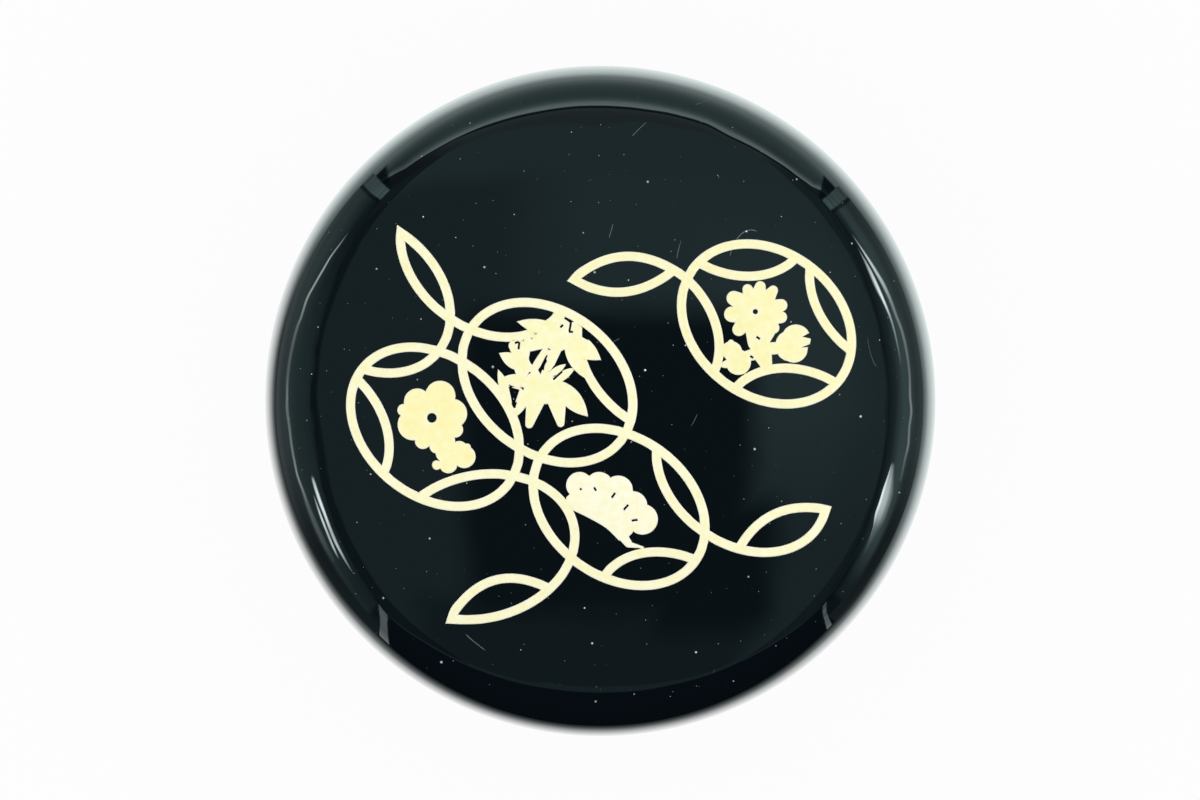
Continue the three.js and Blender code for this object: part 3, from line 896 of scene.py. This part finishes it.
# Patches of another level, each over the ones before it: level, then one patch or more
TOP_PATCHES = (
    (0.43, (EVERYWHERE, (0.1, FAR, 0.015))),  # back
    (0.31, ((0.04, FAR, 0.04), (-FAR, -0.07, 0.05))),  # right front
    (0.15, ((-0.07, 0.055, 0.02), (-FAR, -0.09, 0.015))),  # middle of the front
    (0.05, ((-0.046, 0.052, 0.018), (-0.08, 0.026, 0.018)),  # the camera's opening
     ((0.03, 0.064, 0.018), (-0.09, -0.05, 0.02))),  # and its corner
    (0.27, (EVERYWHERE, (-FAR, -0.1275, 0.0025))),  # line along the front
)
# The sheet is dimmer past its side edges, which bow inwards to the front and back, and along a line
EDGE_BOW = 3.5
TOP_RIGHT = (0.1265, 0.129)
TOP_RIGHT_LEVELS = (1.0, 0.5)
TOP_LEFT = (0.1222, 0.124)
TOP_LEFT_LEVELS = (1.0, 0.33)
TOP_LINE = (0.126, 0.1295, 0.002)
TOP_LINE_LEVEL = 0.6


def patch(tree, x, y, across, ahead):
    return times(tree, between(tree, x, *across), between(tree, y, *ahead))


def top_level(tree, where):
    """Dim sheet, brighter to the right, dark at the camera's opening and dimmer at both sides."""
    x, y, _ = parts_of(tree, where)
    level = minus(tree, eased(tree, x, TOP_RISE, TOP_LEVELS),
                  eased(tree, x, TOP_DIP, TOP_DIP_LEVELS))
    level = plus(tree, level, times(tree, patch(tree, x, y, *BRIGHT_PATCH), BRIGHT_GAIN))
    for patch_level, *patches in TOP_PATCHES:
        covered = most(tree, *(patch(tree, x, y, *sides) for sides in patches))
        level = blended(tree, covered, level, patch_level)
    bow = times(tree, y, y, EDGE_BOW)
    right_edge = eased(tree, plus(tree, x, bow), TOP_RIGHT, TOP_RIGHT_LEVELS)
    left_edge = eased(tree, minus(tree, bow, x), TOP_LEFT, TOP_LEFT_LEVELS)
    line = dimmed(tree, between(tree, x, *TOP_LINE), TOP_LINE_LEVEL)
    return times(tree, level, times(tree, right_edge, left_edge), line)


# Front, posts and bars
DARK_HEIGHTS = (0.1965, 0.204)
DARK_LEVELS = (0.006, 0.27)
GLOW_NOISE = (45.0, 2.0)
POST_LEVELS = (0.9, 1.7)
POST_HEIGHTS = (0.03, 0.18)
POST_RISE = (0.5, 1.2)
BAR_LEVELS = (1.6, 2.8)


def dark_level(tree, where):
    return eased(tree, parts_of(tree, where)[2], DARK_HEIGHTS, DARK_LEVELS)


def post_level(tree, where):
    rising = remap(tree, parts_of(tree, where)[2], POST_HEIGHTS, POST_RISE)
    return times(tree, mottled(tree, where, GLOW_NOISE, POST_LEVELS), rising)


def bar_level(tree, where):
    return mottled(tree, where, GLOW_NOISE, BAR_LEVELS)


def panel(name, points, material, faces=None):
    mesh = bpy.data.meshes.new(name)
    mesh.from_pydata(points, [], faces or [tuple(range(len(points)))])
    mesh.materials.append(material)
    made = new_object(name, mesh)
    return made


def reflector(name, points, material, faces=None):
    """A panel seen only in reflections, so that the light on the caddy stays even."""
    made = panel(name, points, material, faces)
    made.visible_camera = False
    made.visible_diffuse = False
    made.visible_shadow = False
    return made


def upright(name, start, end, material):
    """A panel on the floor line from start to end, up to the top of the box."""
    (ax, ay), (bx, by) = start, end
    points = [(ax, ay, WALL_FOOT), (bx, by, WALL_FOOT), (bx, by, BOX_TOP), (ax, ay, BOX_TOP)]
    reflector(name, points, material)


upright("box_back", (BOX_LEFT + BACK_GAP, BOX_BACK), (BOX_RIGHT - BACK_GAP, BOX_BACK),
        emission("back_glow", back_level, sheet_colour))
upright("box_front", (BOX_RIGHT, BOX_FRONT), (BOX_LEFT, BOX_FRONT),
        emission("front_dark", dark_level))
upright("box_left", (BOX_LEFT, BOX_FRONT), (BOX_LEFT, BOX_BACK - BACK_GAP),
        emission("left_glow", left_level))
upright("box_right", (BOX_RIGHT, BOX_BACK - BACK_GAP), (BOX_RIGHT, BOX_FRONT),
        emission("right_glow", right_level))

POST_OUT = 0.002
POST_IN = 0.008
post = emission("post_glow", post_level)
for name, x in (("post_back_right", BOX_RIGHT), ("post_back_left", BOX_LEFT)):
    side = math.copysign(1, x)
    upright(name, (x - side * POST_IN, BOX_BACK + POST_OUT),
            (x + side * POST_OUT, BOX_BACK - POST_IN), post)

# The bars of light at the front corners lean, in mm: height, then x and y of either edge
FRONT_BARS = {
    "bar_front_left": (
        (200, -123.8, -115, -123.8, -126.2),
        (135, -123.8, -121.4, -122.6, -129),
        (80, -123.8, -126.8, -117.3, -129),
        (11, -121.3, -129, -111, -129),
    ),
    "bar_front_right": (
        (190, 137, -127, 136.5, -122),
        (130, 134.2, -129, 136.5, -127.2),
        (60, 129.8, -129, 134.5, -129),
        (5, 127, -129, 132.5, -129),
    ),
}
bar = emission("bar_glow", bar_level, BAR_COLOUR)
for name, rows in FRONT_BARS.items():
    points = []
    for z, ax, ay, bx, by in rows:
        points += [(ax * MM, ay * MM, z * MM), (bx * MM, by * MM, z * MM)]
    faces = [(i, i + 1, i + 3, i + 2) for i in range(0, len(points) - 2, 2)]
    reflector(name, points, bar, faces)

reflector(
    "box_top",
    [(BOX_LEFT, BOX_FRONT, BOX_TOP), (BOX_RIGHT, BOX_FRONT, BOX_TOP),
     (BOX_RIGHT, BOX_BACK, BOX_TOP), (BOX_LEFT, BOX_BACK, BOX_TOP)],
    emission("top_glow", top_level),
)

# Streaks of light on the side panels, in mm: place along the panel, height, half width, level
RIGHT_STREAKS = (
    ((80, 185, 3, 1), (66, 177, 14, 18), (55, 171, 16, 28), (47, 163, 13, 28), (39, 152, 10, 12),
     (31, 147, 9, 7), (16, 142, 6, 0.5)),
    ((90, 166, 3, 1), (74, 149, 11, 18), (64, 136, 14, 18), (56, 122, 15, 13), (48, 114, 13, 7),
     (40, 109, 12, 5), (32, 98, 11, 4.4), (24, 93, 11, 3.4), (12, 92, 9, 3.2), (2, 96, 9, 5),
     (-5, 89, 9, 5), (-12, 95, 9, 4.2), (-20, 90, 9, 4.2), (-27, 96, 9, 2.4), (-37, 95, 9, 0.8)),
)
LEFT_STREAKS = (
    ((-33, 170, 4, 0.5), (-36, 171, 7, 18), (-46, 174, 8, 30), (-53, 176, 7, 27),
     (-61, 176, 8, 16), (-69, 175, 8, 18), (-78, 177, 7, 9), (-88, 180, 4, 0.3)),
    ((-41, 154, 4, 0.5), (-44, 154, 7, 8), (-53, 153, 10, 24), (-61, 150, 11, 16),
     (-69, 143, 10, 16), (-75, 138, 5, 0.3)),
    ((82, 148, 3, 0.5), (74, 139, 5, 9), (66, 124, 6, 12), (58, 117, 7, 12), (50, 105, 7, 10),
     (43, 92, 8, 8), (35, 91, 8, 5), (28, 83, 10, 2.8), (11, 76, 10, 2), (2, 78, 8, 4.2),
     (-4, 78, 10, 3.4), (-11, 85, 9, 3.6), (-24, 88, 8, 5), (-31, 88, 7, 7), (-38, 96, 9, 4.6),
     (-45, 97, 14, 2.4), (-60, 100, 20, 1.4), (-75, 100, 16, 0.3)),
)
BROAD_STREAK = (
    (-30, 168, 12, 0.5), (-33, 168, 16, 14), (-38, 162, 27, 25), (-44, 155, 39, 31),
    (-52, 153, 42, 31), (-58, 153, 42, 24), (-63, 150, 34, 8), (-71, 147, 20, 3),
    (-82, 143, 8, 0.3),
)
# Across a streak, from its upper edge down: share of the half width, share of the level
SOFT_SECTION = ((1.0, 0.0), (0.6, 0.6), (0.25, 1.0), (-0.25, 1.0), (-0.6, 0.6), (-1.0, 0.0))
BROAD_SECTION = (
    (1.0, 0.0), (0.93, 1.0), (0.8, 0.95), (0.7, 0.55), (0.55, 0.5), (0.29, 0.48),
    (-0.07, 0.38), (-0.43, 0.17), (-0.74, 0.1), (-1.0, 0.0),
)
STREAK_STEPS = 8
STREAK_OFF = 0.001


def flowing(rows):
    """Short steps along a smooth run through rows of numbers."""
    out = []
    last = len(rows) - 1
    for i in range(last):
        around = (rows[max(i - 1, 0)], rows[i], rows[i + 1], rows[min(i + 2, last)])
        for step in range(STREAK_STEPS):
            t = step / STREAK_STEPS
            out.append(tuple(
                b + t / 2 * (c - a + t * (2 * a - 5 * b + 4 * c - d + t * (3 * (b - c) + d - a)))
                for a, b, c, d in zip(*around)
            ))
    return out + [rows[-1]]


def streak(name, x, rows, section, material):
    """A ribbon of light on a side panel, with the level of each point in its glow attribute."""
    points, glow, faces = [], [], []
    wide = len(section)
    for y, z, half, level in flowing(rows):
        for side, share in section:
            points.append((x, y * MM, (z + side * half) * MM))
            glow.append(max(level, 0.0) * share)
    for i in range(len(points) // wide - 1):
        for j in range(wide - 1):
            a = i * wide + j
            faces.append((a, a + 1, a + 1 + wide, a + wide))
    made = reflector(name, points, material, faces)
    made.data.attributes.new("glow", "FLOAT", "POINT").data.foreach_set("value", glow)


right_streak = emission("right_streak", right_level, streaked=True)
left_streak = emission("left_streak", left_level, streaked=True)
for i, rows in enumerate(RIGHT_STREAKS):
    streak(f"streak_right_{i}", BOX_RIGHT - STREAK_OFF, rows, SOFT_SECTION, right_streak)
for i, rows in enumerate(LEFT_STREAKS):
    streak(f"streak_left_{i}", BOX_LEFT + STREAK_OFF, rows, SOFT_SECTION, left_streak)
streak("streak_broad", BOX_RIGHT - STREAK_OFF, BROAD_STREAK, BROAD_SECTION, right_streak)


# Floor
FLOOR_RADIUS = 0.9
FLOOR_STEPS = 96
FLOOR_DROP = 0.1 * MM
FLOOR_GLOW = 0.94
PAPER_NOISE = (900.0, 3.0)
PAPER = (0.88, 0.92)
# Painted reflection colour: a cool tint on the floor's lit side, seen only in reflections
COOL_MIRRORED_TINT = (0.9, 1.0, 0.99, 1)
# Brightness of the mirrored floor by distance from the caddy, on its lit and its dim side
LIT_FLOOR = ((0.045, 1.0), (0.06, 1.15), (0.075, 1.3), (0.1, 1.25), (0.125, 1.1))
DIM_FLOOR = (
    (0.045, 1.0), (0.056, 0.84), (0.068, 0.75), (0.085, 0.6), (0.1, 0.35), (0.115, 0.17),
)
LIT_SIDE = (-0.03, 0.02)
LIT_SIDE_LEAN = 0.5


def floor_material():
    """White paper: seen as white and darker where the caddy shades it; in reflections it shows
    painted light and shade, brighter with a cool tint on its lit side and darker on its dim side.
    """
    material, tree = new_material("white_paper")
    where = place(tree)
    paper = add(tree, "ShaderNodeBsdfDiffuse", {"Color": mottled(tree, where, PAPER_NOISE, PAPER)})
    x, y, _ = parts_of(tree, where)
    away = most(tree, maths(tree, "ABSOLUTE", x), maths(tree, "ABSOLUTE", y))
    lit_side = remap(tree, plus(tree, y, times(tree, x, LIT_SIDE_LEAN)), LIT_SIDE)
    level = blended(tree, lit_side, curve_of(tree, away, DIM_FLOOR, BOX_RIGHT),
                    curve_of(tree, away, LIT_FLOOR, BOX_RIGHT))
    mirrored = add(tree, "ShaderNodeLightPath").outputs["Is Glossy Ray"]
    glow = add(tree, "ShaderNodeEmission", {
        "Color": mixed(tree, times(tree, mirrored, lit_side), WHITE, COOL_MIRRORED_TINT),
        "Strength": blended(tree, mirrored, 1.0, level),
    })
    share = times(tree, seen(tree), FLOOR_GLOW)
    both = add(tree, "ShaderNodeMixShader", {0: share, 1: paper.outputs[0], 2: glow.outputs[0]})
    add(tree, "ShaderNodeOutputMaterial", {"Surface": both.outputs[0]})
    return material


floor_turns = [math.tau * i / FLOOR_STEPS for i in range(FLOOR_STEPS)]
panel(
    "floor",
    [(FLOOR_RADIUS * math.cos(turn), FLOOR_RADIUS * math.sin(turn), -FLOOR_DROP)
     for turn in floor_turns],
    floor_material(),
)

# Soft lamp under the top, kept out of the reflections
LAMP_SIZE = 0.2
LAMP_HEIGHT = 0.2
LAMP_POWER = 0.112
lamp_data = bpy.data.lights.new("soft_top", "AREA")
lamp_data.shape = "SQUARE"
lamp_data.size = LAMP_SIZE
lamp_data.energy = LAMP_POWER
lamp = new_object("soft_top", lamp_data)
lamp.location = (0, 0, LAMP_HEIGHT)
lamp.visible_camera = False
lamp.visible_glossy = False

# World: white where it is seen, and an even light on the caddy
ROOM_LIGHT = 0.75
world = bpy.data.worlds.new("white_room")
world.use_nodes = True
room = world.node_tree
room.nodes.clear()
strength = remap(room, seen(room), UNIT, (ROOM_LIGHT, 1.0))
sky = add(room, "ShaderNodeBackground", {"Color": WHITE, "Strength": strength})
add(room, "ShaderNodeOutputWorld", {"Surface": sky.outputs[0]})
bpy.context.scene.world = world

# Camera: above the lid, a little behind and to the right of its axis
IMAGE_WIDTH = 1200
SENSOR = 36.0
FOCAL_PIXELS = 4598
CLIP_START = 0.01
CAMERA_HEIGHT = 0.50145
AIM = (0.026 * MM, 0.277 * MM, 0.065)
LEAN_X = 0.0033
LEAN_Y = 0.0105
camera_data = bpy.data.cameras.new("camera")
camera_data.sensor_fit = "HORIZONTAL"
camera_data.sensor_width = SENSOR
camera_data.lens = SENSOR * FOCAL_PIXELS / IMAGE_WIDTH
camera_data.clip_start = CLIP_START
camera = new_object("camera", camera_data)
rise = CAMERA_HEIGHT - AIM[2]
camera.location = (AIM[0] + rise * LEAN_X, AIM[1] + rise * LEAN_Y, CAMERA_HEIGHT)
camera.rotation_euler = (-LEAN_Y, LEAN_X, 0)
bpy.context.scene.camera = camera

bpy.context.scene.view_settings.view_transform = "Standard"

bpy.context.view_layer.update()
